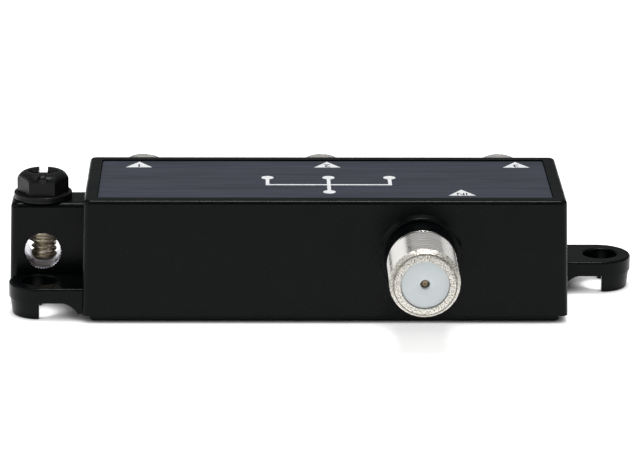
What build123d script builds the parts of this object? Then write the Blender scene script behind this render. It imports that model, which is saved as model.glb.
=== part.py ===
from build123d import *
import os
from math import radians, sqrt, tan

# Three-way coaxial splitter: a drafted cast box with two mounting ears, a ground block
# with its clamp screw, one input port on the front and three output ports on the rear.
# Millimetres. The feet and the back cover stand on z = 0, X runs along the box and
# -Y is the side of the input port.

# Cast box
top_width = 65.2
top_depth = 22.9
box_height = 16.13
rim_gap = 1.05
draft_angle = 1.49
wall = 1.7
roof = 1.7
corner_radius = 0.9
top_edge_radius = 0.55

# Label plate in its recess
label_margin = 1.85
label_thickness = 0.25
label_recess = 0.45
label_clearance = 0.1
label_corner = 0.4

# Back cover, seated in a ledge round the open underside
cover_thickness = 1.65
cover_lip = 1.0
cover_clearance = 0.06
cover_corner = 0.8
cover_edge = 0.25

# Mounting ears, one at each end, the same about the middle of the box
ear_reach = 6.3
ear_y = 6.35
ear_radius = 4.5
ear_end_shift = 0.25
ear_top = 4.53
ear_thickness = 2.02
ear_edge = 0.3
ear_hole = 4.75
ear_hole_edge = 0.27
foot_inset_top = 0.4
foot_inset_bottom = 0.68
foot_edge = 0.3
foot_side_edge = 0.25
foot_bore_gap = 0.25
gusset_reach = 2.6
gusset_root = 0.6
gusset_waist = (1.45, 0.52)

# Ground block and its wire hole
block_reach = 10.32
block_front = 3.4
block_back = 2.9
block_height = 13.48
block_corner = 1.0
block_edge = 0.7
wire_hole = 4.9
wire_hole_height = 7.76
wire_hole_edge = 0.15

# Ground screw, number 6 with 32 turns to the inch
screw_reach = 6.05
screw_thread = 3.5
screw_pitch = 25.4 / 32
screw_thread_depth = 0.38
screw_length = 9.15
screw_clearance = 0.08
screw_tip_chamfer = 0.5
screw_relief = 0.35
head_flats = 6.1
head_height = 2.84
head_crown_flat = 2.1
head_shoulder_radius = 2.85
head_shoulder_drop = 0.18
head_corner_drop = 1.85
head_dish_radius = 1.7
head_dish_floor = 1.45
head_dish_depth = 0.2
flange_diameter = 7.96
flange_thickness = 0.4
flange_edge = 0.12
slot_width = 1.2
slot_depth = 1.05
cross_width = 0.8
cross_length = 4.0
cross_depth = 0.7
pit_radius = 0.95
pit_bottom_radius = 0.3
pit_depth = 0.9
washer_thickness = 0.38
washer_edge = 0.05
washer_bore_gap = 0.08
seat_gap = 0.03

# Ports, thread three eighths of an inch with 32 turns to the inch
port_height = 9.48
input_x = 12.9
output_end_margin = 7.1
port_reach = 25.0
boss_radius = 5.5
boss_proud = 0.5
boss_edge = 0.25
boss_root = 0.4
neck_radius = 4.9
neck_end = 15.3
thread_diameter = 9.45
thread_pitch = 25.4 / 32
thread_depth = 0.45
thread_land = 0.2
nose_length = 1.15
nose_radius = 4.66
face_radius = 4.2
shank_radius = 3.9
press_clearance = 0.02
barrel_bore = 6.0

# Insulators and spring contact in each port
seat_bore = 6.5
insulator_recess = 0.25
insulator_disc = 2.3
insulator_clearance = 0.03
plug_hole = 1.3
stem_radius = 2.2
front_stem = 4.0
rear_disc = 2.0
rear_stem = 3.0
contact_radius = 1.1
contact_bore = 1.1
contact_clearance = 0.06
contact_front_gap = 1.3
contact_slit = 0.3
contact_slit_length = 7.0
tail_radius = 0.35
tail_length = 6.0

# Circuit board and the posts that carry it
board_end_gap = 1.6
board_side_gap = 1.55
board_thickness = 1.2
post_radius = 1.5
post_pin_radius = 0.75
post_pin_clearance = 0.1
post_pin_proud = 0.6
front_post_inset = (2.3, 3.2)
rear_post_shift = 0.25
rear_post_inset = 2.2
joint_radius = 0.95
joint_height = 0.9
joint_taper = 20

# Two-hole ferrite cores, each with its winding
core_width = 4.6
core_depth = 3.4
core_height = 2.6
core_bore = 1.2
core_bore_pitch = 2.2
core_places = [(-20.0, -3.4), (-12.0, -3.4), (-4.0, -3.4), (4.0, -3.4)]
core_names = ["input_transformer", "first_splitter", "second_transformer", "second_splitter"]
wire_diameter = 0.3
wire_gap = 0.02
wire_bend = 0.3
winding_turns = 3
winding_overhang = 0.3
lead_offset = 0.45

# Power-passing chokes: a ferrite rod in a coil of wire
rod_radius = 1.0
rod_length = 6.0
choke_wire = 0.35
choke_length = 4.6
choke_gap = 0.05
choke_edge = 0.15
choke_row_y = 1.7
choke_shift = {"input": -6.4, "output_1": 5.5, "output_2": -6.5, "output_3": -5.5}

# Chip parts on the board: length, width and height, and how far each stands along X from
# the port that it serves
chip_row_y = 5.6
capacitor_size = (2.0, 1.25, 1.1)
capacitor_shift = {"input": -3.3, "output_1": 2.9, "output_2": -3.0, "output_3": -2.7}
resistor_size = (2.0, 1.25, 0.5)
resistor_places = [(-8.0, -6.8), (0.0, -6.8)]
diode_size = (4.2, 2.6, 2.1)
diode_shift = {"output_1": 7.3, "output_2": 5.6, "output_3": -7.3}
chip_edge = 0.12
diode_edge = 0.3

# Worked out from the values above
box_top = rim_gap + box_height
wall_slope = tan(radians(draft_angle))
rim_width = top_width + 2 * box_height * wall_slope
rim_depth = top_depth + 2 * box_height * wall_slope
end_wall_x = top_width / 2 + (box_top - ear_top) * wall_slope
ear_x = top_width / 2 + ear_reach
block_end_x = top_width / 2 + block_reach
screw_x = top_width / 2 + screw_reach
output_pitch = top_width / 2 - output_end_margin
port_wall_y = top_depth / 2 + (box_top - port_height) * wall_slope
inner_wall_y = port_wall_y - wall
cavity_top = box_top - roof
cover_width = rim_width - 2 * cover_lip
cover_depth = rim_depth - 2 * cover_lip
label_width = top_width - 2 * label_margin
label_depth = top_depth - 2 * label_margin
label_floor = box_top - label_recess
ear_bottom = ear_top - ear_thickness
block_top = rim_gap + block_height
board_bottom = port_height + tail_radius
board_top = board_bottom + board_thickness
board_length = top_width - 2 * (wall + board_end_gap)
board_width = top_depth - 2 * (wall + board_side_gap)
front_post_x = board_length / 2 - front_post_inset[0]
front_post_y = front_post_inset[1] - board_width / 2
rear_post_x = output_pitch / 2 - rear_post_shift
rear_post_y = board_width / 2 - rear_post_inset
post_places = [
    (-front_post_x, front_post_y),
    (front_post_x, front_post_y),
    (-rear_post_x, rear_post_y),
    (rear_post_x, rear_post_y),
]
thread_radius = thread_diameter / 2
head_corner_radius = head_flats / sqrt(3)
washer_bottom = block_top + seat_gap
screw_seat = washer_bottom + washer_thickness + seat_gap
flange_top = screw_seat + flange_thickness
head_top = flange_top + head_height
screw_tip = screw_seat - screw_length

ports = {
    "input": (input_x, -1),
    "output_1": (-output_pitch, 1),
    "output_2": (0.0, 1),
    "output_3": (output_pitch, 1),
}
choke_places = [(ports[name][0] + shift, choke_row_y) for name, shift in choke_shift.items()]
capacitor_places = [(ports[name][0] + shift, ports[name][1] * chip_row_y)
                    for name, shift in capacitor_shift.items()]
diode_places = [(ports[name][0] + shift, chip_row_y) for name, shift in diode_shift.items()]


def section_plane(port_x, side):
    """Upright plane through a port's axis: x runs out along the port, y runs up."""
    return Plane(origin=(port_x, 0, port_height), x_dir=(0, side, 0), z_dir=(side, 0, 0))


def port_axis(port_x, side):
    return Axis((port_x, 0, port_height), (0, side, 0))


def finish(name, part):
    part.label = name
    export_step(part, f"parts/{name}.step")


os.makedirs("parts", exist_ok=True)

# One ear with its foot, drawn at the right end and used again at the left, turned round
with BuildPart() as ear:
    with BuildSketch(Plane.XY.offset(ear_bottom)):
        ear_length = ear_x - ear_end_shift - end_wall_x + wall / 2
        with Locations((ear_x - ear_end_shift, ear_y)):
            Circle(ear_radius)
        with Locations((ear_x - ear_end_shift - ear_length / 2, ear_y)):
            Rectangle(ear_length, 2 * ear_radius)
    extrude(amount=ear_thickness)
    ear_top_edges = ear.faces().sort_by(Axis.Z)[-1].edges()
    fillet(ear_top_edges.sort_by(Axis.X)[1:], ear_edge)
    with BuildSketch(Plane(origin=(ear_x, ear_y, 0), x_dir=(0, -1, 0), z_dir=(-1, 0, 0))) as foot:
        with BuildLine():
            Polyline(
                (ear_hole / 2 + foot_bore_gap, 0),
                (ear_radius - foot_inset_bottom, 0),
                (ear_radius - foot_inset_top, ear_bottom),
                (ear_hole / 2 + foot_bore_gap, ear_bottom),
                close=True,
            )
        make_face()
        foot_corner = foot.vertices().sort_by_distance((ear_radius - foot_inset_bottom, 0))[0]
        fillet(foot_corner, foot_edge)
    revolve(axis=Axis((ear_x, ear_y, 0), (0, 0, 1)), revolution_arc=180)
    fillet(ear.edges().filter_by(Axis.Y).filter_by_position(Axis.Z, -seat_gap, seat_gap), foot_side_edge)
    with BuildSketch(Plane.XZ.offset(-ear_y)):
        gusset_wall = end_wall_x + (ear_top - ear_bottom) * wall_slope
        with BuildLine():
            Polyline(
                (gusset_wall + gusset_root, rim_gap),
                (gusset_wall - wall / 2, rim_gap),
                (gusset_wall - wall / 2, ear_bottom),
                (gusset_wall + gusset_reach, ear_bottom),
            )
            ThreePointArc(
                (gusset_wall + gusset_reach, ear_bottom),
                (gusset_wall + gusset_waist[0], ear_bottom - gusset_waist[1]),
                (gusset_wall + gusset_root, rim_gap),
            )
        make_face()
    extrude(amount=ear_radius, both=True)

# Ground block at the left end, its end face drafted like the box
with BuildPart() as ground_block:
    with BuildSketch(Plane.XZ.offset(-block_back)):
        with BuildLine():
            Polyline(
                (-block_end_x, block_top),
                (-block_end_x - (block_top - ear_bottom) * wall_slope, ear_bottom),
                (wall / 2 - end_wall_x, ear_bottom),
                (wall / 2 - end_wall_x, block_top),
                close=True,
            )
        make_face()
    extrude(amount=block_front + block_back)
    fillet(ground_block.edges().filter_by(lambda edge: edge.bounding_box().size.Z > wall)
           .sort_by(Axis.X)[:2], block_corner)
    block_top_edges = ground_block.faces().sort_by(Axis.Z)[-1].edges()
    fillet(block_top_edges.sort_by(Axis.X)[:-1], block_edge)

with BuildPart() as housing:
    # Drafted outer body with rounded corners and top edges
    with BuildSketch(Plane.XY.offset(rim_gap)):
        Rectangle(rim_width, rim_depth)
    extrude(amount=box_height, taper=draft_angle)
    fillet(housing.faces().filter_by(GeomType.PLANE).sort_by(Axis.Z)[1:-1].edges()
           .filter_by(lambda edge: edge.bounding_box().size.Z > wall), corner_radius)
    fillet(housing.faces().sort_by(Axis.Z)[-1].edges(), top_edge_radius)
    add(ear.part)
    add(ear.part, rotation=(0, 0, 180))
    add(ground_block.part)
    # Boss and neck round each port
    for port_x, side in ports.values():
        with BuildSketch(section_plane(port_x, side)) as neck:
            with BuildLine():
                Polyline(
                    (inner_wall_y + wall / 2, 0),
                    (inner_wall_y + wall / 2, boss_radius + boss_root),
                    (port_wall_y - boss_root / 2, boss_radius + boss_root),
                    (port_wall_y + boss_root / 2, boss_radius),
                    (port_wall_y + boss_proud, boss_radius),
                    (port_wall_y + boss_proud, neck_radius),
                    (neck_end, neck_radius),
                    (neck_end, 0),
                    close=True,
                )
            make_face()
            boss_rim = neck.vertices().sort_by_distance((port_wall_y + boss_proud, boss_radius))[0]
            fillet(boss_rim, boss_edge)
        revolve(axis=port_axis(port_x, side))
    # Open inside, and the ledge for the back cover
    with BuildSketch(Plane.XY.offset(rim_gap)):
        Rectangle(rim_width - 2 * wall, rim_depth - 2 * wall)
    extrude(amount=box_height - roof, taper=draft_angle, mode=Mode.SUBTRACT)
    with BuildSketch(Plane.XY.offset(rim_gap)):
        RectangleRounded(cover_width + 2 * cover_clearance, cover_depth + 2 * cover_clearance,
                         cover_corner)
    extrude(amount=cover_thickness - rim_gap, mode=Mode.SUBTRACT)
    # Posts for the board, each with a pin through it
    with BuildSketch(Plane.XY.offset(board_top)):
        with Locations(*post_places):
            Circle(post_radius)
    extrude(amount=cavity_top + wall / 2 - board_top)
    with BuildSketch(Plane.XY.offset(board_bottom - post_pin_proud)):
        with Locations(*post_places):
            Circle(post_pin_radius)
    extrude(amount=board_top - board_bottom + post_pin_proud)
    # Recess for the label
    with BuildSketch(Plane.XY.offset(label_floor)):
        RectangleRounded(label_width + 2 * label_clearance, label_depth + 2 * label_clearance,
                         label_corner)
    extrude(amount=label_recess, mode=Mode.SUBTRACT)
    # Bore through each boss for the barrel's shank
    for port_x, side in ports.values():
        with BuildSketch(Plane(origin=(port_x, side * neck_end, port_height), x_dir=(1, 0, 0),
                               z_dir=(0, -side, 0))):
            Circle(shank_radius + press_clearance)
        extrude(amount=neck_end - inner_wall_y + wall / 2, mode=Mode.SUBTRACT)
    # Screw holes in the ears
    with BuildSketch(Plane.XY.offset(ear_bottom)):
        with Locations((ear_x, ear_y), (-ear_x, -ear_y)):
            Circle(ear_hole / 2)
    extrude(amount=ear_thickness, mode=Mode.SUBTRACT)
    hole_rims = housing.edges().filter_by(GeomType.CIRCLE).filter_by_position(
        Axis.Z, ear_top - seat_gap, ear_top + seat_gap)
    fillet(hole_rims.filter_by(lambda rim: abs(rim.radius - ear_hole / 2) < seat_gap), ear_hole_edge)
    # Wire hole across the ground block, and the screw's hole down into it
    with BuildSketch(Plane.XZ.offset(-block_back)):
        with Locations((-screw_x, wire_hole_height)):
            Circle(wire_hole / 2)
    extrude(amount=block_front + block_back, mode=Mode.SUBTRACT)
    with BuildSketch(Plane.XY.offset(block_top)):
        with Locations((-screw_x, 0)):
            Circle(screw_thread / 2 + screw_clearance)
    extrude(amount=wire_hole_height - block_top, mode=Mode.SUBTRACT)
    wire_rims = housing.edges().filter_by(GeomType.CIRCLE).filter_by(
        lambda rim: abs(rim.radius - wire_hole / 2) < seat_gap and rim.is_closed)
    chamfer(wire_rims, wire_hole_edge)
finish("housing", housing.part)

with BuildPart() as back_cover:
    with BuildSketch():
        RectangleRounded(cover_width, cover_depth, cover_corner)
    extrude(amount=cover_thickness)
    chamfer(back_cover.faces().sort_by(Axis.Z)[0].edges(), cover_edge)
finish("back_cover", back_cover.part)

with BuildPart() as label_plate:
    with BuildSketch(Plane.XY.offset(label_floor)):
        RectangleRounded(label_width, label_depth, label_corner)
    extrude(amount=label_thickness)
finish("label_plate", label_plate.part)


def thread_outline(start, end, crest, depth, pitch, land):
    """Points of ring grooves between start and end, with a flat crest between grooves."""
    grooves = int((end - start) / pitch)
    spare = (end - start) - grooves * pitch
    slope = (pitch - 2 * land) / 2
    points = []
    for groove in range(grooves):
        at = start + spare / 2 + groove * pitch
        points += [
            (at + land / 2, crest),
            (at + land / 2 + slope, crest - depth),
            (at + land / 2 + slope + land, crest - depth),
            (at + pitch - land / 2, crest),
        ]
    return points


# Ground screw: hexagonal domed head with slot and cross, flange and threaded shank
with BuildPart() as ground_screw:
    with BuildSketch(Plane.XY.offset(flange_top)):
        with Locations((-screw_x, 0)):
            RegularPolygon(head_corner_radius, 6)
    extrude(amount=head_height)
    with BuildSketch(Plane(origin=(-screw_x, 0, 0), x_dir=(1, 0, 0), z_dir=(0, -1, 0))):
        with BuildLine():
            Polyline(
                (0, flange_top),
                (0, head_top - head_dish_depth),
                (head_dish_floor, head_top - head_dish_depth),
                (head_dish_radius, head_top),
                (head_crown_flat, head_top),
            )
            ThreePointArc(
                (head_crown_flat, head_top),
                (head_shoulder_radius, head_top - head_shoulder_drop),
                (head_corner_radius, head_top - head_corner_drop),
            )
            Polyline(
                (head_corner_radius, head_top - head_corner_drop),
                (head_corner_radius, flange_top),
                (0, flange_top),
            )
        make_face()
    revolve(axis=Axis((-screw_x, 0, 0), (0, 0, 1)), mode=Mode.INTERSECT)
    with BuildSketch(Plane.XY.offset(head_top)):
        with Locations((-screw_x, 0)):
            Rectangle(slot_width, 2 * head_corner_radius)
    extrude(amount=-slot_depth, mode=Mode.SUBTRACT)
    with BuildSketch(Plane.XY.offset(head_top)):
        with Locations((-screw_x, 0)):
            Rectangle(cross_length, cross_width)
    extrude(amount=-cross_depth, mode=Mode.SUBTRACT)
    with Locations((-screw_x, 0, head_top - slot_depth - pit_depth / 2)):
        Cone(pit_bottom_radius, pit_radius, pit_depth, mode=Mode.SUBTRACT)
    with BuildSketch(Plane.XY.offset(screw_seat)):
        with Locations((-screw_x, 0)):
            Circle(flange_diameter / 2)
    extrude(amount=flange_thickness)
    flange_rims = ground_screw.edges().filter_by(GeomType.CIRCLE).filter_by(
        lambda rim: abs(rim.radius - flange_diameter / 2) < seat_gap)
    fillet(flange_rims.sort_by(Axis.Z)[-1], flange_edge)
    with BuildSketch(Plane(origin=(-screw_x, 0, 0), x_dir=(0, 0, 1), z_dir=(0, 1, 0))):
        with BuildLine():
            screw_crest = screw_thread / 2
            Polyline(
                (screw_tip, 0),
                (screw_tip, screw_crest - screw_tip_chamfer),
                (screw_tip + screw_tip_chamfer, screw_crest),
                *thread_outline(screw_tip + screw_tip_chamfer, screw_seat - screw_relief, screw_crest,
                                screw_thread_depth, screw_pitch, thread_land),
                (screw_seat - screw_relief, screw_crest),
                (screw_seat - screw_relief, screw_crest - screw_thread_depth),
                (screw_seat + flange_thickness / 2, screw_crest - screw_thread_depth),
                (screw_seat + flange_thickness / 2, 0),
                close=True,
            )
        make_face()
    revolve(axis=Axis((-screw_x, 0, 0), (0, 0, 1)))
finish("ground_screw", ground_screw.part)

with BuildPart() as ground_screw_washer:
    with BuildSketch(Plane.XY.offset(washer_bottom)):
        with Locations((-screw_x, 0)):
            Circle(flange_diameter / 2)
            Circle(screw_thread / 2 + washer_bore_gap, mode=Mode.SUBTRACT)
    extrude(amount=washer_thickness)
    washer_rims = ground_screw_washer.edges().filter_by(GeomType.CIRCLE).filter_by(
        lambda rim: abs(rim.radius - flange_diameter / 2) < seat_gap)
    fillet(washer_rims, washer_edge)
finish("ground_screw_washer", ground_screw_washer.part)

# Distances out along a port, from the middle of the box
nose_start = port_reach - nose_length
insulator_front = port_reach - insulator_recess
insulator_back = insulator_front - insulator_disc
rear_face = inner_wall_y
rear_disc_end = rear_face + rear_disc
contact_back = rear_disc_end - rear_disc / 2
contact_front = insulator_front - contact_front_gap
tail_end = rear_face + rear_disc - tail_length

for name, (port_x, side) in ports.items():
    axis = port_axis(port_x, side)

    with BuildPart() as barrel:
        with BuildSketch(section_plane(port_x, side)):
            with BuildLine():
                Polyline(
                    (rear_face, barrel_bore / 2),
                    (rear_face, shank_radius),
                    (neck_end, shank_radius),
                    (neck_end, thread_radius),
                    *thread_outline(neck_end, nose_start, thread_radius, thread_depth,
                                    thread_pitch, thread_land),
                    (nose_start, thread_radius),
                    (nose_start, nose_radius),
                    (port_reach, face_radius),
                    (port_reach, seat_bore / 2),
                    (insulator_back, seat_bore / 2),
                    (insulator_back, barrel_bore / 2),
                    close=True,
                )
            make_face()
        revolve(axis=axis)
    finish(f"{name}_barrel", barrel.part)

    with BuildPart() as front_insulator:
        with BuildSketch(section_plane(port_x, side)):
            with BuildLine():
                Polyline(
                    (insulator_front, plug_hole / 2),
                    (insulator_front, seat_bore / 2 - insulator_clearance),
                    (insulator_back, seat_bore / 2 - insulator_clearance),
                    (insulator_back, stem_radius),
                    (insulator_back - front_stem, stem_radius),
                    (insulator_back - front_stem, contact_radius + contact_clearance),
                    (contact_front + contact_clearance, contact_radius + contact_clearance),
                    (contact_front + contact_clearance, plug_hole / 2),
                    close=True,
                )
            make_face()
        revolve(axis=axis)
    finish(f"{name}_front_insulator", front_insulator.part)

    with BuildPart() as rear_insulator:
        with BuildSketch(section_plane(port_x, side)):
            with BuildLine():
                Polyline(
                    (rear_face, tail_radius + contact_clearance),
                    (rear_face, barrel_bore / 2 - insulator_clearance),
                    (rear_disc_end, barrel_bore / 2 - insulator_clearance),
                    (rear_disc_end, stem_radius),
                    (rear_disc_end + rear_stem, stem_radius),
                    (rear_disc_end + rear_stem, contact_radius + contact_clearance),
                    (contact_back, contact_radius + contact_clearance),
                    (contact_back, tail_radius + contact_clearance),
                    close=True,
                )
            make_face()
        revolve(axis=axis)
    finish(f"{name}_rear_insulator", rear_insulator.part)

    with BuildPart() as contact:
        with BuildSketch(section_plane(port_x, side)):
            with BuildLine():
                Polyline(
                    (tail_end, 0),
                    (tail_end, tail_radius),
                    (contact_back, tail_radius),
                    (contact_back, contact_radius),
                    (contact_front, contact_radius),
                    (contact_front, contact_bore / 2),
                    (contact_front - contact_slit_length, contact_bore / 2),
                    (contact_front - contact_slit_length, 0),
                    close=True,
                )
            make_face()
        revolve(axis=axis)
        with BuildSketch(Plane(origin=(port_x, side * contact_front, port_height),
                               x_dir=(1, 0, 0), z_dir=(0, -side, 0))):
            Rectangle(2 * contact_radius, contact_slit)
            Rectangle(contact_slit, 2 * contact_radius)
        extrude(amount=contact_slit_length, mode=Mode.SUBTRACT)
    finish(f"{name}_contact", contact.part)

# Circuit board with a hole for each post pin
with BuildPart() as circuit_board:
    with BuildSketch(Plane.XY.offset(board_bottom)):
        Rectangle(board_length, board_width)
        with Locations(*post_places):
            Circle(post_pin_radius + post_pin_clearance, mode=Mode.SUBTRACT)
    extrude(amount=board_thickness)
finish("circuit_board", circuit_board.part)

# Solder round each post pin and over each contact tail
with BuildPart() as ground_solder:
    with BuildSketch(Plane.XY.offset(board_bottom)):
        with Locations(*post_places):
            Circle(joint_radius + post_pin_radius)
    extrude(amount=-post_pin_proud, taper=joint_taper)
    with BuildSketch(Plane.XY.offset(board_bottom)):
        with Locations(*post_places):
            Circle(post_pin_radius)
    extrude(amount=-post_pin_proud, mode=Mode.SUBTRACT)
finish("ground_solder", ground_solder.part)

tail_places = [(port_x, side * (tail_end + joint_radius))
               for port_x, side in ports.values()]
with BuildPart() as port_solder:
    with BuildSketch(Plane.XY.offset(board_bottom)):
        with Locations(*tail_places):
            Circle(joint_radius)
    extrude(amount=-joint_height, taper=joint_taper)
    for port_x, side in ports.values():
        with BuildSketch(Plane(origin=(port_x, 0, port_height), x_dir=(-side, 0, 0),
                               z_dir=(0, side, 0))):
            Circle(tail_radius)
            with Locations((0, tail_radius)):
                Rectangle(2 * tail_radius, 2 * tail_radius)
        extrude(amount=port_reach, mode=Mode.SUBTRACT)
finish("port_solder", port_solder.part)

# Two-hole cores with three turns of wire through them, wound as one open run
for name, (core_x, core_y) in zip(core_names, core_places):
    core_bottom = board_bottom - core_height
    core_middle = board_bottom - core_height / 2
    with BuildPart() as core:
        with BuildSketch(Plane(origin=(core_x, core_y, core_middle), x_dir=(1, 0, 0),
                               z_dir=(0, -1, 0))):
            SlotOverall(core_width, core_height)
            with GridLocations(core_bore_pitch, core_bore_pitch, 2, 1):
                Circle(core_bore / 2, mode=Mode.SUBTRACT)
        extrude(amount=core_depth / 2, both=True)
    finish(f"{name}_core", core.part)

    # The wire goes out through one bore and back through the other, a step higher each time
    runs = 2 * winding_turns
    run_step = (wire_diameter + wire_gap) / 2
    front_y = core_y - core_depth / 2 - winding_overhang
    back_y = core_y + core_depth / 2 + winding_overhang
    route = []
    for run in range(runs):
        bore_x = core_x + (core_bore_pitch / 2 if run % 2 else -core_bore_pitch / 2)
        run_z = core_middle + (run - (runs - 1) / 2) * run_step
        ends = [(bore_x, front_y, run_z), (bore_x, back_y, run_z)]
        route += ends[::-1] if run % 2 else ends
    lead_y = front_y - lead_offset
    first_x, _, first_z = route[0]
    last_x, _, last_z = route[-1]
    route[0] = (first_x, lead_y, first_z)
    route[-1] = (last_x, lead_y, last_z)
    route = [(first_x, lead_y, board_bottom)] + route + [(last_x, lead_y, board_bottom)]
    with BuildPart() as winding:
        with BuildLine() as wire_path:
            FilletPolyline(*route, radius=wire_bend)
        with BuildSketch(Plane(origin=route[0], x_dir=(1, 0, 0), z_dir=(0, 0, -1))):
            Circle(wire_diameter / 2)
        sweep(path=wire_path.wires()[0])
    finish(f"{name}_winding", winding.part)

# Chokes: rods along X, each in its coat of wire with a lead up to the board at both ends
choke_radius = rod_radius + choke_gap + choke_wire
choke_z = board_bottom - choke_radius - choke_gap
with BuildPart() as choke_rods:
    for choke_x, choke_y in choke_places:
        with BuildSketch(Plane(origin=(choke_x, choke_y, choke_z), x_dir=(0, 1, 0),
                               z_dir=(1, 0, 0))):
            Circle(rod_radius)
        extrude(amount=rod_length / 2, both=True)
finish("choke_rods", choke_rods.part)

with BuildPart() as choke_windings:
    for choke_x, choke_y in choke_places:
        with BuildSketch(Plane(origin=(choke_x, choke_y, choke_z), x_dir=(0, 1, 0),
                               z_dir=(1, 0, 0))):
            Circle(choke_radius)
        extrude(amount=choke_length / 2, both=True)
    fillet(choke_windings.edges().filter_by(GeomType.CIRCLE), choke_edge)
    lead_x = (choke_length - choke_wire) / 2 - choke_edge
    with BuildSketch(Plane.XY.offset(choke_z)):
        with Locations(*[(choke_x + end * lead_x, choke_y + choke_radius - choke_wire / 2)
                         for choke_x, choke_y in choke_places for end in (-1, 1)]):
            Circle(choke_wire / 2)
    extrude(amount=board_bottom - choke_z)
    for choke_x, choke_y in choke_places:
        with BuildSketch(Plane(origin=(choke_x, choke_y, choke_z), x_dir=(0, 1, 0),
                               z_dir=(1, 0, 0))):
            Circle(rod_radius + choke_gap)
        extrude(amount=choke_length, both=True, mode=Mode.SUBTRACT)
finish("choke_windings", choke_windings.part)

chip_groups = {
    "blocking_capacitors": (capacitor_size, capacitor_places, chip_edge),
    "isolation_resistors": (resistor_size, resistor_places, chip_edge),
    "steering_diodes": (diode_size, diode_places, diode_edge),
}
for name, ((chip_length, chip_width, chip_height), places, edge) in chip_groups.items():
    with BuildPart() as chips:
        with BuildSketch(Plane.XY.offset(board_bottom)):
            with Locations(*places):
                Rectangle(chip_length, chip_width)
        extrude(amount=-chip_height)
        chamfer(chips.edges().filter_by_position(
            Axis.Z, board_bottom - chip_height - edge, board_bottom - chip_height + edge), edge)
    finish(name, chips.part)
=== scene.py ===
import bmesh
import bpy
from math import cos, pi, radians, sin
from mathutils import Matrix, Quaternion, Vector


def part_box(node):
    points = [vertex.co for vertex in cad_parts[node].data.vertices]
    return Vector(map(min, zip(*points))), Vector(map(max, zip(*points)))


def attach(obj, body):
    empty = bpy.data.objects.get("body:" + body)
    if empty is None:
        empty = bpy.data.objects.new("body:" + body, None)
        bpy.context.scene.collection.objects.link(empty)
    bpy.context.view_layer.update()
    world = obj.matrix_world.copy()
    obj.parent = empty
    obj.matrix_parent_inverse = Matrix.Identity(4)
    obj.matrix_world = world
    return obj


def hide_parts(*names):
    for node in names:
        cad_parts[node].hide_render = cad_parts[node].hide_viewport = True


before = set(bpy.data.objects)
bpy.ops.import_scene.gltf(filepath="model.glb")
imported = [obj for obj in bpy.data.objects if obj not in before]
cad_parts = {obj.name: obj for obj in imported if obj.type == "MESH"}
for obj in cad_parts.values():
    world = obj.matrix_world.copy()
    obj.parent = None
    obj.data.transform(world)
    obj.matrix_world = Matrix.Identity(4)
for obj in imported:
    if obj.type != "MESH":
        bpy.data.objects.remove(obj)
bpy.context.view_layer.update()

mm = 0.001

# Camera: the photograph's viewing angle, 640 pixels across, angles in degrees
photo_width = 640
focal_length_pixels = 3676
camera_elevation = 16.48
camera_turn = 1.134
camera_roll = 0.356
camera_distance = 508.2 * mm
camera_target = Vector((-0.527, 0, 8.751)) * mm
camera_nearest = 10 * mm
sensor_width = 36

# Studio: lamp places and sizes in metres, power in watts
floor_half_width = 4
floor_color = (0.88, 0.88, 0.88)
floor_glow = 0.55
surround_color = (0.97, 0.98, 1.0)
surround_strength = 0.16
studio_lamps = {
    "overhead_lamp": ((0.02, 0.06, 0.75), (0.3, 0.2), 4.2),
    "broad_lamp": ((0.1, -0.35, 0.75), (0.9, 0.7), 0.7),
    "left_lamp": ((-0.72, -0.3, 0.42), (1.4, 0.6), 3.0),
    "right_lamp": ((0.72, -0.36, 0.36), (0.8, 0.4), 0.85),
}

# Contact shadow: how open the floor is where the shadow is full, and where it ends
contact_shadow_reach = 4.0 * mm
contact_shadow_full = 0.24
contact_shadow_end = 0.54
contact_shadow_samples = 16

# Where a pattern's low and high values are reached, of its range from 0 to 1
pattern_low = 0.35
pattern_high = 0.65

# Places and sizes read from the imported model
label_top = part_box("label_plate")[1].z
washer_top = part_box("ground_screw_washer")[1].z
screw_low, screw_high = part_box("ground_screw")
screw_axis = ((screw_low.x + screw_high.x) / 2, (screw_low.y + screw_high.y) / 2)
port_names = ["input", "output_1", "output_2", "output_3"]
core_names = ["input_transformer", "first_splitter", "second_transformer", "second_splitter"]

# Points nearer to each other than these become one
weld_distance = 0.001 * mm
thread_weld_distance = 0.002 * mm
screw_weld_distance = 0.0005 * mm

# Edges that turn by more than these stay crisp, and by less than flat_angle go, in degrees
crisp_angle = 30
screw_crisp_angle = 18
flat_angle = 0.5

# Ground block
wire_hole_radius = 2.45 * mm
wire_hole_height = 7.76 * mm
wire_hole_edge = 0.15 * mm
wire_hole_half_length = 4 * mm

# Threaded bushing round the screw, at the top of the wire hole
bushing_bore = 1.83 * mm
bushing_radius = 2.24 * mm
bushing_ridge = 0.12 * mm
bushing_pitch = 4 * bushing_ridge
bushing_bottom = wire_hole_height + 0.88 * mm
bushing_top = wire_hole_height + 2.6 * mm

# Threads: 32 turns to the inch on the ports and on the screw
pitch = 25.4 / 32 * mm
thread_run_out = 0.4 * pitch

# One groove: the share of the pitch along it, and the share of its depth below the crest
thread_profile = [
    (0.0, 0.03),
    (0.05, 0.0),
    (0.13, 0.0),
    (0.18, 0.03),
    (0.55, 0.96),
    (0.6, 1.0),
    (0.65, 0.96),
]

# Port barrel: lengths along it are counted from the middle of the box, or back from its mouth
turn_steps = 96
port_thread_depth = 0.43 * mm
collar_start = 15.3 * mm
collar_length = 0.32 * mm
collar_drop = 0.13 * mm
collar_slope = 1.4
port_thread_start = collar_start + collar_length
nose_length = 1.15 * mm
nose_radius = 4.66 * mm
face_radius = 4.2 * mm
face_groove = 0.34 * mm
crease_depth = 0.17 * mm
face_lip_radius = 4.06 * mm
face_edge = 0.06 * mm
shank_radius = 3.9 * mm
barrel_bore = 3.0 * mm
seat_bore = 3.25 * mm

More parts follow.
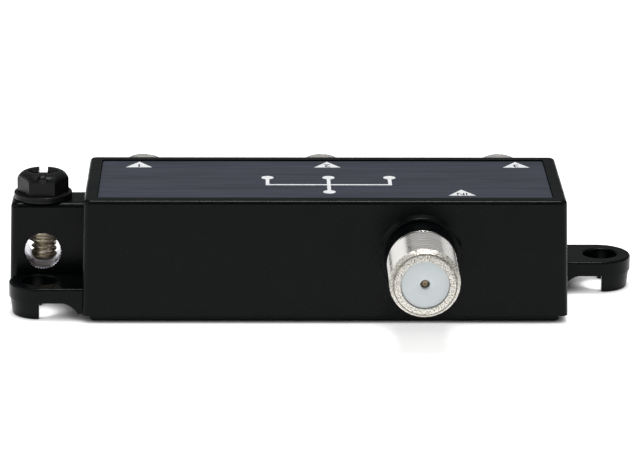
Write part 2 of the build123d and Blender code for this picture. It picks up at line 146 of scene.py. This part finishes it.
# Insulator in each port's mouth
insulator_recess = 0.25 * mm
insulator_disc = 2.3 * mm
insulator_edge = 0.12 * mm
insulator_dish = 0.05 * mm
plug_hole_radius = 0.65 * mm
plug_hole_lead = 0.14 * mm
stem_radius = 2.2 * mm
stem_length = 4.0 * mm
fit_gap = 0.03 * mm

# Sprung leaves that nearly close the contact's mouth
leaf_radius = 0.61 * mm
leaf_slit = 0.06 * mm
leaf_depth = 0.6 * mm
leaf_length = 0.7 * mm
leaf_steps = 12

# The leaves' cupped tip: how far out and how far down, as shares of their radius
leaf_tip = [
    (1.0, 0.5),
    (0.8, 0.2),
    (0.45, 0.0),
    (0.2, 0.05),
    (0.0, 0.3),
]

# Ground screw's shank, joined to the head halfway down its plain relief
screw_steps = 64
screw_radius = 1.75 * mm
screw_thread_depth = 0.38 * mm
screw_neck = screw_radius - screw_thread_depth
screw_seat = washer_top + 0.03 * mm
screw_relief = 0.35 * mm
screw_cut = screw_seat - screw_relief / 2
screw_thread_top = screw_seat - screw_relief
screw_tip_chamfer = 0.5 * mm
screw_thread_bottom = screw_low.z + screw_tip_chamfer

# Marks printed on the label
mark_width = 3.7 * mm
mark_depth = 2.95 * mm
output_mark_base = 6.3 * mm
output_mark_places = {"1": -25.65 * mm, "2": 0.55 * mm, "3": 26.9 * mm}
input_mark_base = -8.0 * mm
input_mark_place = 18.6 * mm
digit_height = 2.0 * mm
digit_rise = 0.32 * mark_depth
word_height = 1.55 * mm
word_rise = 0.27 * mark_depth
letter_boldness = 0.02 * mm
letter_curve_steps = 6
line_width = 0.5 * mm
diagram_middle = Vector((0.6, -2.6)) * mm
diagram_branch = 8.4 * mm
diagram_arm = 3.6 * mm
dot_radius = 0.85 * mm
dot_steps = 24

# Ink: what crosses something else is printed a little thicker, so that no two tops are level
print_thickness = 0.012 * mm
trunk_layers = 1.0
crossbar_layers = 1.1
branch_layers = 1.2
dot_layers = 1.3
character_layers = 1.6


def whole_mesh(bm):
    """All of a bmesh, as the operators take it."""
    return bm.verts[:] + bm.edges[:] + bm.faces[:]


def spin_outline(bm, outline, steps, centre=(0, 0), rise=0.0):
    """Turns (radius, height) points once round an upright axis, rising evenly by rise."""
    axis_x, axis_y = centre
    verts = [bm.verts.new((axis_x + radius, axis_y, height)) for radius, height in outline]
    edges = [bm.edges.new(pair) for pair in zip(verts, verts[1:])]
    bmesh.ops.spin(bm, geom=verts + edges, cent=(axis_x, axis_y, 0), axis=(0, 0, 1),
                   dvec=(0, 0, rise / steps), angle=2 * pi, steps=steps, use_merge=not rise)


def thread_outline(start, end, crest, depth):
    """One thread groove after another, from two turns before start to a turn past end."""
    points = []
    along = start - 2 * pitch
    while along < end + pitch:
        points += [(crest - down * depth, along + forward * pitch) for forward, down in thread_profile]
        along += pitch
    return points


def cut_thread(bm, start, end, crest, depth, steps, centre=(0, 0)):
    """A true helical thread whose groove runs out to the full radius at both ends."""
    spin_outline(bm, thread_outline(start, end, crest, depth), steps, centre, rise=pitch)
    axis_x, axis_y = centre
    for vert in bm.verts:
        vert.co.z = min(max(vert.co.z, start), end)
        nearest_end = min(vert.co.z - start, end - vert.co.z)
        groove = min(nearest_end / thread_run_out, 1.0)
        spoke = Vector((vert.co.x - axis_x, vert.co.y - axis_y, 0))
        radius = crest - (crest - spoke.length) * groove
        spoke = spoke.normalized() * radius
        vert.co = Vector((axis_x + spoke.x, axis_y + spoke.y, vert.co.z))
    bmesh.ops.remove_doubles(bm, verts=bm.verts[:], dist=thread_weld_distance)


def add_shape(bm, shape):
    """Moves all of a second bmesh into the first."""
    carrier = bpy.data.meshes.new("carrier")
    shape.to_mesh(carrier)
    shape.free()
    bm.from_mesh(carrier)
    bpy.data.meshes.remove(carrier)


def finished_piece(name, bm, finishes, body="splitter", nodes=(), crisp=crisp_angle):
    """Makes a bmesh a piece of the object that rides on a body and stands for CAD nodes."""
    bmesh.ops.remove_doubles(bm, verts=bm.verts[:], dist=weld_distance)
    bmesh.ops.recalc_face_normals(bm, faces=bm.faces[:])
    for face in bm.faces:
        face.smooth = True
    mesh = bpy.data.meshes.new(name)
    bm.to_mesh(mesh)
    bm.free()
    mesh.set_sharp_from_angle(angle=radians(crisp))
    for finish in finishes:
        mesh.materials.append(finish)
    piece = bpy.data.objects.new(name, mesh)
    bpy.context.scene.collection.objects.link(piece)
    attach(piece, body)
    if nodes:
        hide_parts(*nodes)


def port_frame(name):
    """Where a port lies: turns a piece made upright to lie along the port's axis."""
    low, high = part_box(f"{name}_barrel")
    side = 1 if high.y > -low.y else -1
    middle = (low + high) / 2
    return Matrix((
        (1, 0, 0, middle.x),
        (0, 0, side, 0),
        (0, -side, 0, middle.z),
        (0, 0, 0, 1),
    ))


def port_reach(name):
    """How far a port's mouth and its inner end lie from the middle of the box."""
    low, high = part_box(f"{name}_barrel")
    return max(high.y, -low.y), min(abs(high.y), abs(low.y))


# Materials: each reads Object coordinates, in metres


def new_finish(name, color, metallic=0.0, roughness=0.5, **sockets):
    """A material with its plain values set on the shader's own sockets."""
    finish = bpy.data.materials.new(name)
    finish.use_nodes = True
    shader = finish.node_tree.nodes["Principled BSDF"]
    shader.inputs["Base Color"].default_value = (*color, 1)
    shader.inputs["Metallic"].default_value = metallic
    shader.inputs["Roughness"].default_value = roughness
    for socket, value in sockets.items():
        shader.inputs[socket.replace("_", " ")].default_value = value
    finish.diffuse_color = (*color, 1)
    return finish


def add_node(finish, kind, **values):
    """A node with its properties and inputs set by name."""
    node = finish.node_tree.nodes.new(kind)
    for key, value in values.items():
        if hasattr(node, key):
            setattr(node, key, value)
        else:
            node.inputs[key.replace("_", " ")].default_value = value
    return node


def pattern(finish, kind, output, stretch=(1, 1, 1), **values):
    """A texture on Object coordinates, finer along an axis where its stretch is larger."""
    links = finish.node_tree.links
    place = add_node(finish, "ShaderNodeTexCoord")
    mapping = add_node(finish, "ShaderNodeMapping")
    mapping.inputs["Scale"].default_value = stretch
    texture = add_node(finish, kind, **values)
    links.new(place.outputs["Object"], mapping.inputs["Vector"])
    links.new(mapping.outputs["Vector"], texture.inputs["Vector"])
    return texture.outputs[output]


def clouds(finish, scale, detail):
    """A cloudy pattern, the same in every direction."""
    return pattern(finish, "ShaderNodeTexNoise", "Fac", Scale=scale, Detail=detail)


def streaks(finish, stretch, detail):
    """A cloudy pattern drawn out into streaks or rings."""
    return pattern(finish, "ShaderNodeTexNoise", "Fac", stretch, Scale=1, Detail=detail)


def pits(finish, scale):
    """Small round pits, scattered freely."""
    return pattern(finish, "ShaderNodeTexVoronoi", "Distance", Scale=scale, Randomness=1.0)


def vary_roughness(finish, source, low, high):
    """Makes the roughness run from low to high with a pattern."""
    links = finish.node_tree.links
    spread = add_node(finish, "ShaderNodeMapRange", From_Min=pattern_low, From_Max=pattern_high,
                      To_Min=low, To_Max=high)
    links.new(source, spread.inputs["Value"])
    links.new(spread.outputs["Result"], finish.node_tree.nodes["Principled BSDF"].inputs["Roughness"])


def tint(finish, source, dark, light, start=pattern_low, end=pattern_high):
    """Makes the colour run from dark to light with a pattern."""
    links = finish.node_tree.links
    ramp = add_node(finish, "ShaderNodeValToRGB")
    ramp.color_ramp.elements[0].position = start
    ramp.color_ramp.elements[0].color = (*dark, 1)
    ramp.color_ramp.elements[1].position = end
    ramp.color_ramp.elements[1].color = (*light, 1)
    links.new(source, ramp.inputs["Fac"])
    links.new(ramp.outputs["Color"], finish.node_tree.nodes["Principled BSDF"].inputs["Base Color"])


def relief(finish, source, depth, strength):
    """Raises the surface by a pattern; a second call adds its relief to the first."""
    links = finish.node_tree.links
    shader = finish.node_tree.nodes["Principled BSDF"]
    bump = add_node(finish, "ShaderNodeBump", Distance=depth, Strength=strength)
    links.new(source, bump.inputs["Height"])
    for earlier in shader.inputs["Normal"].links:
        links.new(earlier.from_socket, bump.inputs["Normal"])
    links.new(bump.outputs["Normal"], shader.inputs["Normal"])


def black_coat():
    """Satin black paint over the casting, with a faint cast texture under it."""
    finish = new_finish("black_coat", (0.0012, 0.0019, 0.0020), roughness=0.27, Specular_IOR_Level=0.1)
    cloud = clouds(finish, scale=260, detail=3)
    grain = clouds(finish, scale=3600, detail=2)
    tint(finish, cloud, dark=(0.0009, 0.0016, 0.0017), light=(0.0015, 0.0022, 0.0023))
    vary_roughness(finish, cloud, low=0.23, high=0.32)
    relief(finish, grain, depth=0.012 * mm, strength=0.5)
    relief(finish, cloud, depth=0.05 * mm, strength=0.25)
    return finish


def bare_casting():
    """Bright bare metal where the wire hole was drilled through the painted block."""
    finish = new_finish("bare_casting", (0.64, 0.63, 0.68), metallic=1.0, roughness=0.26)
    rings = streaks(finish, stretch=(300, 9000, 300), detail=3)
    blotches = clouds(finish, scale=900, detail=3)
    tint(finish, blotches, dark=(0.40, 0.39, 0.44), light=(0.62, 0.61, 0.67))
    vary_roughness(finish, rings, low=0.2, high=0.36)
    relief(finish, rings, depth=0.01 * mm, strength=0.5)
    return finish


def label_foil():
    """Slate-blue printed foil with fine brushed streaks along the box."""
    finish = new_finish("label_foil", (0.05, 0.053, 0.072), metallic=0.2, roughness=0.5,
                        Specular_IOR_Level=0.3)
    brushing = streaks(finish, stretch=(90, 5200, 90), detail=4)
    bands = streaks(finish, stretch=(60, 240, 60), detail=2)
    tint(finish, brushing, dark=(0.036, 0.041, 0.054), light=(0.058, 0.064, 0.085), start=0.41, end=0.6)
    vary_roughness(finish, bands, low=0.44, high=0.56)
    relief(finish, brushing, depth=0.006 * mm, strength=0.5)
    return finish


def label_ink(name, dark, light):
    """Flat printed ink, a little uneven."""
    finish = new_finish(name, light, roughness=0.55)
    mottle = clouds(finish, scale=2400, detail=2)
    tint(finish, mottle, dark, light)
    vary_roughness(finish, mottle, low=0.5, high=0.62)
    return finish


def white_ink():
    """White ink of the triangles and the diagram."""
    return label_ink("white_ink", dark=(0.72, 0.73, 0.75), light=(0.86, 0.87, 0.88))


def slate_ink():
    """Dark ink of the characters."""
    return label_ink("slate_ink", dark=(0.04, 0.042, 0.055), light=(0.06, 0.063, 0.08))


def nickel_thread():
    """Bright nickel plate on the turned thread, with fine tool marks round it."""
    finish = new_finish("nickel_thread", (0.80, 0.78, 0.745), metallic=1.0, roughness=0.24)
    tool_marks = streaks(finish, stretch=(500, 12000, 500), detail=3)
    cloud = clouds(finish, scale=900, detail=3)
    tint(finish, cloud, dark=(0.78, 0.76, 0.725), light=(0.86, 0.845, 0.82))
    vary_roughness(finish, cloud, low=0.16, high=0.24)
    relief(finish, tool_marks, depth=0.006 * mm, strength=0.4)
    return finish


def nickel_nose():
    """The rough, speckled nickel of the nose and the mouth's rim, shinier where it is light."""
    finish = new_finish("nickel_nose", (0.80, 0.765, 0.70), metallic=1.0, roughness=0.34)
    pitting = pits(finish, scale=4200)
    speckle = clouds(finish, scale=5200, detail=4)
    tint(finish, speckle, dark=(0.24, 0.22, 0.18), light=(0.76, 0.74, 0.69), start=0.39, end=0.52)
    vary_roughness(finish, speckle, low=0.64, high=0.46)
    relief(finish, speckle, depth=0.08 * mm, strength=0.8)
    relief(finish, pitting, depth=0.03 * mm, strength=0.4)
    return finish


def pale_insulator():
    """Ice-white moulded plastic that lets a little light in."""
    finish = new_finish("pale_insulator", (0.80, 0.86, 0.87), roughness=0.42, Subsurface_Weight=0.35,
                        Subsurface_Scale=0.6 * mm, Subsurface_Radius=(1.0, 1.0, 1.0))
    cloud = clouds(finish, scale=420, detail=3)
    tint(finish, cloud, dark=(0.78, 0.845, 0.855), light=(0.82, 0.87, 0.88))
    vary_roughness(finish, cloud, low=0.38, high=0.5)
    relief(finish, clouds(finish, scale=5000, detail=2), depth=0.004 * mm, strength=0.5)
    return finish


def spring_bronze():
    """Bare spring bronze, dulled in the open bore."""
    finish = new_finish("spring_bronze", (0.50, 0.36, 0.21), metallic=1.0, roughness=0.38)
    tarnish = clouds(finish, scale=1800, detail=4)
    tint(finish, tarnish, dark=(0.24, 0.185, 0.12), light=(0.42, 0.335, 0.235))
    vary_roughness(finish, tarnish, low=0.3, high=0.46)
    return finish


def black_screw():
    """Black satin coat on the screw's head, flange and washer."""
    finish = new_finish("black_screw", (0.007, 0.007, 0.0078), roughness=0.3, Specular_IOR_Level=0.14)
    cloud = clouds(finish, scale=1500, detail=3)
    tint(finish, cloud, dark=(0.005, 0.005, 0.0056), light=(0.009, 0.0094, 0.0102))
    vary_roughness(finish, cloud, low=0.28, high=0.42)
    relief(finish, cloud, depth=0.012 * mm, strength=0.5)
    return finish


def screw_thread_plate():
    """Brownish yellow plating left on the screw's thread."""
    finish = new_finish("screw_thread_plate", (0.55, 0.48, 0.36), metallic=1.0, roughness=0.33)
    wear = streaks(finish, stretch=(900, 900, 6000), detail=4)
    tint(finish, wear, dark=(0.26, 0.21, 0.13), light=(0.78, 0.71, 0.58))
    vary_roughness(finish, wear, low=0.24, high=0.46)
    relief(finish, wear, depth=0.02 * mm, strength=0.5)
    return finish


def inner_finish(name, dark, light, metallic=0.0, roughness=0.5, scale=1500):
    """A mottled finish for a piece inside the closed box."""
    finish = new_finish(name, light, metallic=metallic, roughness=roughness)
    mottle = clouds(finish, scale, detail=3)
    tint(finish, mottle, dark, light)
    vary_roughness(finish, mottle, low=roughness - 0.06, high=roughness + 0.08)
    relief(finish, mottle, depth=0.01 * mm, strength=0.5)
    return finish


def fired_ferrite():
    """Grey-black ferrite of the cores and the chokes' rods."""
    return inner_finish("fired_ferrite", dark=(0.035, 0.035, 0.04), light=(0.07, 0.07, 0.075),
                        roughness=0.6)


def enamelled_copper():
    """Enamelled wire of the windings."""
    return inner_finish("enamelled_copper", dark=(0.50, 0.19, 0.07), light=(0.72, 0.33, 0.15),
                        metallic=1.0, roughness=0.3, scale=2500)


def bright_solder():
    """Solder on the contact tails and the board's posts."""
    return inner_finish("bright_solder", dark=(0.58, 0.58, 0.60), light=(0.78, 0.78, 0.80),
                        metallic=1.0, roughness=0.28, scale=2000)


def board_laminate():
    """Green laminate of the circuit board."""
    return inner_finish("board_laminate", dark=(0.02, 0.13, 0.05), light=(0.04, 0.20, 0.09), scale=600)


def tan_ceramic():
    """Fired ceramic of the blocking capacitors."""
    return inner_finish("tan_ceramic", dark=(0.42, 0.31, 0.19), light=(0.56, 0.43, 0.29))


def black_glaze():
    """Glossy glaze of the isolation resistors."""
    return inner_finish("black_glaze", dark=(0.02, 0.02, 0.025), light=(0.05, 0.05, 0.06), roughness=0.3)


def black_moulding():
    """Moulded case of the steering diodes."""
    return inner_finish("black_moulding", dark=(0.015, 0.015, 0.015), light=(0.035, 0.035, 0.035))


# Dressed CAD nodes and new pieces


def dress_node(finishes, node_name):
    """Puts finishes on a CAD node's own material slots."""
    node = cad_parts[node_name]
    node.data.materials.clear()
    for finish in finishes:
        node.data.materials.append(finish)
    return node


def dress_housing(coat, bare):
    """Black coat on the casting, and bare metal in the wire hole."""
    node = dress_node([coat, bare], "housing")
    reach = wire_hole_radius + wire_hole_edge / 2
    for face in node.data.polygons:
        middle = face.center
        off_axis = Vector((middle.x - screw_axis[0], middle.z - wire_hole_height)).length
        in_hole = off_axis < reach and abs(middle.y) < wire_hole_half_length
        face.material_index = 1 if in_hole else 0


def screw_head():
    """The CAD screw's head and flange, cut off below the seat and closed there."""
    bm = bmesh.new()
    bm.from_mesh(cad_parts["ground_screw"].data)
    bmesh.ops.remove_doubles(bm, verts=bm.verts[:], dist=screw_weld_distance)
    bmesh.ops.bisect_plane(bm, geom=whole_mesh(bm), plane_co=(0, 0, screw_cut), plane_no=(0, 0, 1),
                           clear_inner=True)
    bmesh.ops.dissolve_limit(bm, angle_limit=radians(flat_angle), verts=bm.verts[:], edges=bm.edges[:])
    bmesh.ops.holes_fill(bm, edges=[edge for edge in bm.edges if edge.is_boundary])
    return bm


def screw_shank():
    """The screw's relief, helical thread and chamfered tip, closed where the head begins."""
    bm = bmesh.new()
    cut_thread(bm, screw_thread_bottom, screw_thread_top, screw_radius, screw_thread_depth,
               screw_steps, screw_axis)
    spin_outline(bm, [
        (screw_radius, screw_thread_top),
        (screw_neck, screw_thread_top),
        (screw_neck, screw_cut),
        (0, screw_cut),
    ], screw_steps, screw_axis)
    spin_outline(bm, [
        (0, screw_low.z),
        (screw_radius - screw_tip_chamfer, screw_low.z),
        (screw_radius, screw_thread_bottom),
    ], screw_steps, screw_axis)
    bmesh.ops.remove_doubles(bm, verts=bm.verts[:], dist=thread_weld_distance)
    for face in bm.faces:
        face.material_index = 1
    return bm


def make_ground_screw(head_finish, thread_finish):
    """The ground screw: the CAD head and flange on a shank with a true helical thread."""
    bm = screw_head()
    add_shape(bm, screw_shank())
    finished_piece("ground_clamp_screw", bm, [head_finish, thread_finish],
                   body="screw", nodes=["ground_screw"], crisp=screw_crisp_angle)


def make_screw_bushing(finish):
    """The ridged bushing that the ground screw turns in, seen at the top of the wire hole."""
    outline = [(bushing_bore, bushing_bottom)]
    height = bushing_bottom
    while height < bushing_top:
        outline += [
            (bushing_radius - bushing_ridge / 2, height),
            (bushing_radius, height + bushing_ridge),
            (bushing_radius, height + 2 * bushing_ridge),
            (bushing_radius - bushing_ridge, height + 3 * bushing_ridge),
        ]
        height += bushing_pitch
    outline += [(bushing_bore, outline[-1][1]), outline[0]]
    bm = bmesh.new()
    spin_outline(bm, outline, screw_steps, screw_axis)
    finished_piece("screw_bushing", bm, [finish])


def nose_outline(mouth, crest):
    """From the thread's end over the chamfered nose and the creased face to the mouth's rim."""
    thread_end = mouth - nose_length
    groove_at = mouth - face_groove
    return [
        (crest, thread_end),
        (nose_radius, thread_end + face_edge),
        (face_radius + face_edge, groove_at),
        (face_radius - face_edge / 2, groove_at - crease_depth),
        (face_lip_radius, groove_at - crease_depth),
        (face_lip_radius, mouth - face_edge),
        (face_lip_radius - face_edge / 2, mouth - face_edge / 4),
        (face_lip_radius - face_edge, mouth),
        (seat_bore + face_edge, mouth),
    ]


def bore_outline(mouth, back):
    """From the mouth's rim down the insulator's seat and the bore to the shank's end."""
    seat_bottom = mouth - insulator_recess - insulator_disc
    return [
        (seat_bore, mouth - face_edge),
        (seat_bore, seat_bottom),
        (barrel_bore, seat_bottom),
        (barrel_bore, back),
        (shank_radius, back),
    ]


def collar_outline(crest):
    """From the shank over the rounded collar to where the thread starts."""
    return [
        (shank_radius, collar_start),
        (crest - collar_drop / 2, collar_start),
        (crest, collar_start + collar_drop / 2),
        (crest, port_thread_start - collar_slope * collar_drop),
        (crest - collar_drop, port_thread_start - face_edge / 2),
        (crest - collar_drop, port_thread_start),
        (crest, port_thread_start),
    ]


def make_barrel(name, thread_finish, nose_finish):
    """A port's barrel: shank, helical thread, chamfered nose, rim and bores."""
    mouth, back = port_reach(name)
    low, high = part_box(f"{name}_barrel")
    crest = (high.x - low.x) / 2
    thread_end = mouth - nose_length
    bm = bmesh.new()
    cut_thread(bm, port_thread_start, thread_end, crest, port_thread_depth, turn_steps)
    outline = nose_outline(mouth, crest) + bore_outline(mouth, back) + collar_outline(crest)
    spin_outline(bm, outline, turn_steps)
    for face in bm.faces:
        face.material_index = 1 if face.calc_center_median().z > thread_end else 0
    bm.transform(port_frame(name))
    finished_piece(f"{name}_threaded_barrel", bm, [thread_finish, nose_finish],
                   nodes=[f"{name}_barrel"])


def make_insulator(name, finish):
    """A port's front insulator, faintly dished, with a lead-in round the hole for the plug."""
    mouth = port_reach(name)[0]
    front = mouth - insulator_recess
    dish = front - insulator_dish
    back = front - insulator_disc
    rim = seat_bore - fit_gap
    bm = bmesh.new()
    spin_outline(bm, [
        (plug_hole_radius, back - stem_length),
        (plug_hole_radius, dish - plug_hole_lead),
        (plug_hole_radius + plug_hole_lead / 3, dish - plug_hole_lead / 3),
        (plug_hole_radius + plug_hole_lead, dish),
        (rim / 2, front - insulator_dish / 2),
        (rim - insulator_edge, front),
        (rim - insulator_edge / 3, front - insulator_edge / 3),
        (rim, front - insulator_edge),
        (rim, back),
        (stem_radius, back),
        (stem_radius, back - stem_length),
        (plug_hole_radius, back - stem_length),
    ], turn_steps)
    bm.transform(port_frame(name))
    finished_piece(f"{name}_insulator_disc", bm, [finish],
                   nodes=[f"{name}_front_insulator"])


def make_leaves(name, finish):
    """The two sprung leaves that grip the plug's pin, close behind the insulator's hole."""
    top = port_reach(name)[0] - insulator_recess - leaf_depth
    outline = [(0, top - leaf_length), (leaf_radius, top - leaf_length)]
    outline += [(out * leaf_radius, top - down * leaf_radius) for out, down in leaf_tip]
    bm = bmesh.new()
    face = bm.faces.new([bm.verts.new((radius, 0, height)) for radius, height in outline])
    bmesh.ops.spin(bm, geom=face.verts[:] + face.edges[:] + [face], cent=(0, 0, 0), axis=(0, 0, 1),
                   angle=pi, steps=leaf_steps)
    bmesh.ops.translate(bm, verts=bm.verts[:], vec=(0, leaf_slit / 2, 0))
    bmesh.ops.mirror(bm, geom=whole_mesh(bm), axis="Y", merge_dist=-1)
    bm.transform(port_frame(name))
    finished_piece(f"{name}_contact_leaves", bm, [finish])


def make_ports(thread_nickel, nose_nickel, plastic, bronze):
    """Barrel, insulators, contact and leaves of each of the four ports."""
    for name in port_names:
        make_barrel(name, thread_nickel, nose_nickel)
        make_insulator(name, plastic)
        dress_node([plastic], f"{name}_rear_insulator")
        dress_node([bronze], f"{name}_contact")
        make_leaves(name, bronze)


def dress_inside(ferrite, copper, solder):
    """Finishes on the board and all that is on it, inside the closed box."""
    for core in core_names:
        dress_node([ferrite], f"{core}_core")
        dress_node([copper], f"{core}_winding")
    dress_node([ferrite], "choke_rods")
    dress_node([copper], "choke_windings")
    dress_node([board_laminate()], "circuit_board")
    dress_node([tan_ceramic()], "blocking_capacitors")
    dress_node([black_glaze()], "isolation_resistors")
    dress_node([black_moulding()], "steering_diodes")
    dress_node([solder], "ground_solder")
    dress_node([solder], "port_solder")


def print_strip(bm, start, end, layers):
    """A straight printed line on the label, between two places in plan."""
    run = end - start
    middle = (start + end) / 2
    turned = Matrix.Rotation(-Vector((1, 0)).angle_signed(run), 4, "Z")
    thickness = layers * print_thickness
    placed = Matrix.Translation((*middle, label_top + thickness / 2)) @ turned
    size = Matrix.Diagonal((run.length, line_width, thickness, 1))
    bmesh.ops.create_cube(bm, size=1, matrix=placed @ size)


def print_dot(bm, place, layers):
    """A round printed dot."""
    thickness = layers * print_thickness
    placed = Matrix.Translation((*place, label_top + thickness / 2))
    bmesh.ops.create_cone(bm, cap_ends=True, segments=dot_steps, radius1=dot_radius,
                          radius2=dot_radius, depth=thickness, matrix=placed)


def print_triangle(bm, place_x, base_y):
    """A printed triangle that points away from the front."""
    corners = [
        (place_x - mark_width / 2, base_y),
        (place_x + mark_width / 2, base_y),
        (place_x, base_y + mark_depth),
    ]
    face = bm.faces.new([bm.verts.new((x, y, label_top)) for x, y in corners])
    raised = bmesh.ops.extrude_face_region(bm, geom=[face])["geom"]
    raised_verts = [part for part in raised if isinstance(part, bmesh.types.BMVert)]
    bmesh.ops.translate(bm, verts=raised_verts, vec=(0, 0, print_thickness))


def print_diagram(bm):
    """A plain line diagram: a trunk with a dot at its foot feeds three branches with a dot each."""
    trunk = diagram_middle - Vector((0, diagram_arm))
    print_strip(bm, trunk, diagram_middle, trunk_layers)
    print_dot(bm, trunk, dot_layers)
    reach = Vector((diagram_branch + line_width / 2, 0))
    print_strip(bm, diagram_middle - reach, diagram_middle + reach, crossbar_layers)
    for side in (-1, 0, 1):
        foot = diagram_middle + Vector((side * diagram_branch, 0))
        tip = foot + Vector((0, diagram_arm))
        print_strip(bm, foot, tip, branch_layers)
        print_dot(bm, tip, dot_layers)


def print_word(bm, word, height, place):
    """Printed characters, upright for someone at the output side."""
    letters = bpy.data.curves.new(f"letters_{word}", "FONT")
    letters.body = word
    letters.size = height
    letters.extrude = print_thickness / 2
    letters.offset = letter_boldness
    letters.align_x = "CENTER"
    letters.align_y = "CENTER"
    letters.resolution_u = letter_curve_steps
    carrier = bpy.data.objects.new(f"letters_{word}", letters)
    flat = bpy.data.meshes.new_from_object(carrier)
    flat.transform(Matrix.Translation(place) @ Matrix.Rotation(pi, 4, "Z"))
    bm.from_mesh(flat)
    bpy.data.objects.remove(carrier)
    bpy.data.curves.remove(letters)
    bpy.data.meshes.remove(flat)


def make_label_print(finish):
    """White triangles at the ports and the diagram of one port that feeds three."""
    bm = bmesh.new()
    for place_x in output_mark_places.values():
        print_triangle(bm, place_x, output_mark_base)
    print_triangle(bm, input_mark_place, input_mark_base)
    print_diagram(bm)
    finished_piece("label_print", bm, [finish])


def make_label_characters(finish):
    """The outputs' digits and the input's word, in dark ink on the triangles."""
    bm = bmesh.new()
    ink_height = label_top + character_layers * print_thickness
    for digit, place_x in output_mark_places.items():
        print_word(bm, digit, digit_height, (place_x, output_mark_base + digit_rise, ink_height))
    print_word(bm, "IN", word_height, (input_mark_place, input_mark_base + word_rise, ink_height))
    finished_piece("label_characters", bm, [finish])


# Studio


def make_camera():
    """The camera at the photograph's place, with its small roll."""
    elevation = radians(camera_elevation)
    turn = radians(camera_turn)
    forward = Vector((sin(turn) * cos(elevation), cos(turn) * cos(elevation), -sin(elevation)))
    lens = bpy.data.cameras.new("photo_camera")
    lens.sensor_width = sensor_width
    lens.lens = focal_length_pixels / photo_width * sensor_width
    lens.clip_start = camera_nearest
    camera = bpy.data.objects.new("photo_camera", lens)
    camera.location = camera_target - forward * camera_distance
    camera.rotation_mode = "QUATERNION"
    camera.rotation_quaternion = (forward.to_track_quat("-Z", "Y")
                                  @ Quaternion((0, 0, 1), radians(camera_roll)))
    bpy.context.scene.collection.objects.link(camera)
    bpy.context.scene.camera = camera


def make_lamp(name, place, size, power):
    """A soft rectangular lamp that points at the object."""
    light = bpy.data.lights.new(name, "AREA")
    light.shape = "RECTANGLE"
    light.size, light.size_y = size
    light.energy = power
    lamp = bpy.data.objects.new(name, light)
    lamp.location = place
    lamp.rotation_mode = "QUATERNION"
    lamp.rotation_quaternion = (-Vector(place)).to_track_quat("-Z", "Y")
    bpy.context.scene.collection.objects.link(lamp)


def white_paper():
    """White floor paper that glows for the camera and for what reflects it, but not in a shadow."""
    paper = new_finish("white_paper", floor_color, roughness=0.9, Specular_IOR_Level=0.0,
                       Emission_Color=(1, 1, 1, 1))
    links = paper.node_tree.links
    shader = paper.node_tree.nodes["Principled BSDF"]
    openness = add_node(paper, "ShaderNodeAmbientOcclusion", samples=contact_shadow_samples,
                        Distance=contact_shadow_reach)
    clear = add_node(paper, "ShaderNodeMapRange", From_Min=contact_shadow_full,
                     From_Max=contact_shadow_end, To_Min=0.0, To_Max=1.0)
    links.new(openness.outputs["AO"], clear.inputs["Value"])
    path = add_node(paper, "ShaderNodeLightPath")
    seen = path.outputs["Is Camera Ray"]
    for ray in ("Is Glossy Ray", "Is Transmission Ray"):
        either = add_node(paper, "ShaderNodeMath", operation="MAXIMUM")
        links.new(seen, either.inputs[0])
        links.new(path.outputs[ray], either.inputs[1])
        seen = either.outputs[0]
    glow = add_node(paper, "ShaderNodeMath", operation="MULTIPLY")
    links.new(seen, glow.inputs[0])
    links.new(clear.outputs["Result"], glow.inputs[1])
    strength = add_node(paper, "ShaderNodeMapRange", From_Min=0.0, From_Max=1.0, To_Min=0.0,
                        To_Max=floor_glow)
    links.new(glow.outputs[0], strength.inputs["Value"])
    links.new(strength.outputs["Result"], shader.inputs["Emission Strength"])
    return paper


def make_floor():
    """A wide white floor at the object's feet."""
    bm = bmesh.new()
    bmesh.ops.create_grid(bm, x_segments=1, y_segments=1, size=floor_half_width)
    mesh = bpy.data.meshes.new("studio_floor")
    bm.to_mesh(mesh)
    bm.free()
    mesh.materials.append(white_paper())
    floor = bpy.data.objects.new("studio_floor", mesh)
    bpy.context.scene.collection.objects.link(floor)


def make_surround():
    """A dim, even surround."""
    world = bpy.data.worlds.new("studio_surround")
    world.use_nodes = True
    surround = world.node_tree.nodes["Background"]
    surround.inputs["Color"].default_value = (*surround_color, 1)
    surround.inputs["Strength"].default_value = surround_strength
    bpy.context.scene.world = world


make_camera()
make_floor()
make_surround()
for lamp_name, (lamp_place, lamp_size, lamp_power) in studio_lamps.items():
    make_lamp(lamp_name, lamp_place, lamp_size, lamp_power)

black_paint = black_coat()
screw_coat = black_screw()
thread_plate = screw_thread_plate()
dress_housing(black_paint, bare_casting())
dress_node([black_paint], "back_cover")
dress_node([label_foil()], "label_plate")
dress_node([screw_coat], "ground_screw_washer")
make_ground_screw(screw_coat, thread_plate)
make_screw_bushing(thread_plate)
make_ports(nickel_thread(), nickel_nose(), pale_insulator(), spring_bronze())
dress_inside(fired_ferrite(), enamelled_copper(), bright_solder())
make_label_print(white_ink())
make_label_characters(slate_ink())

bpy.context.scene.view_settings.view_transform = "Standard"
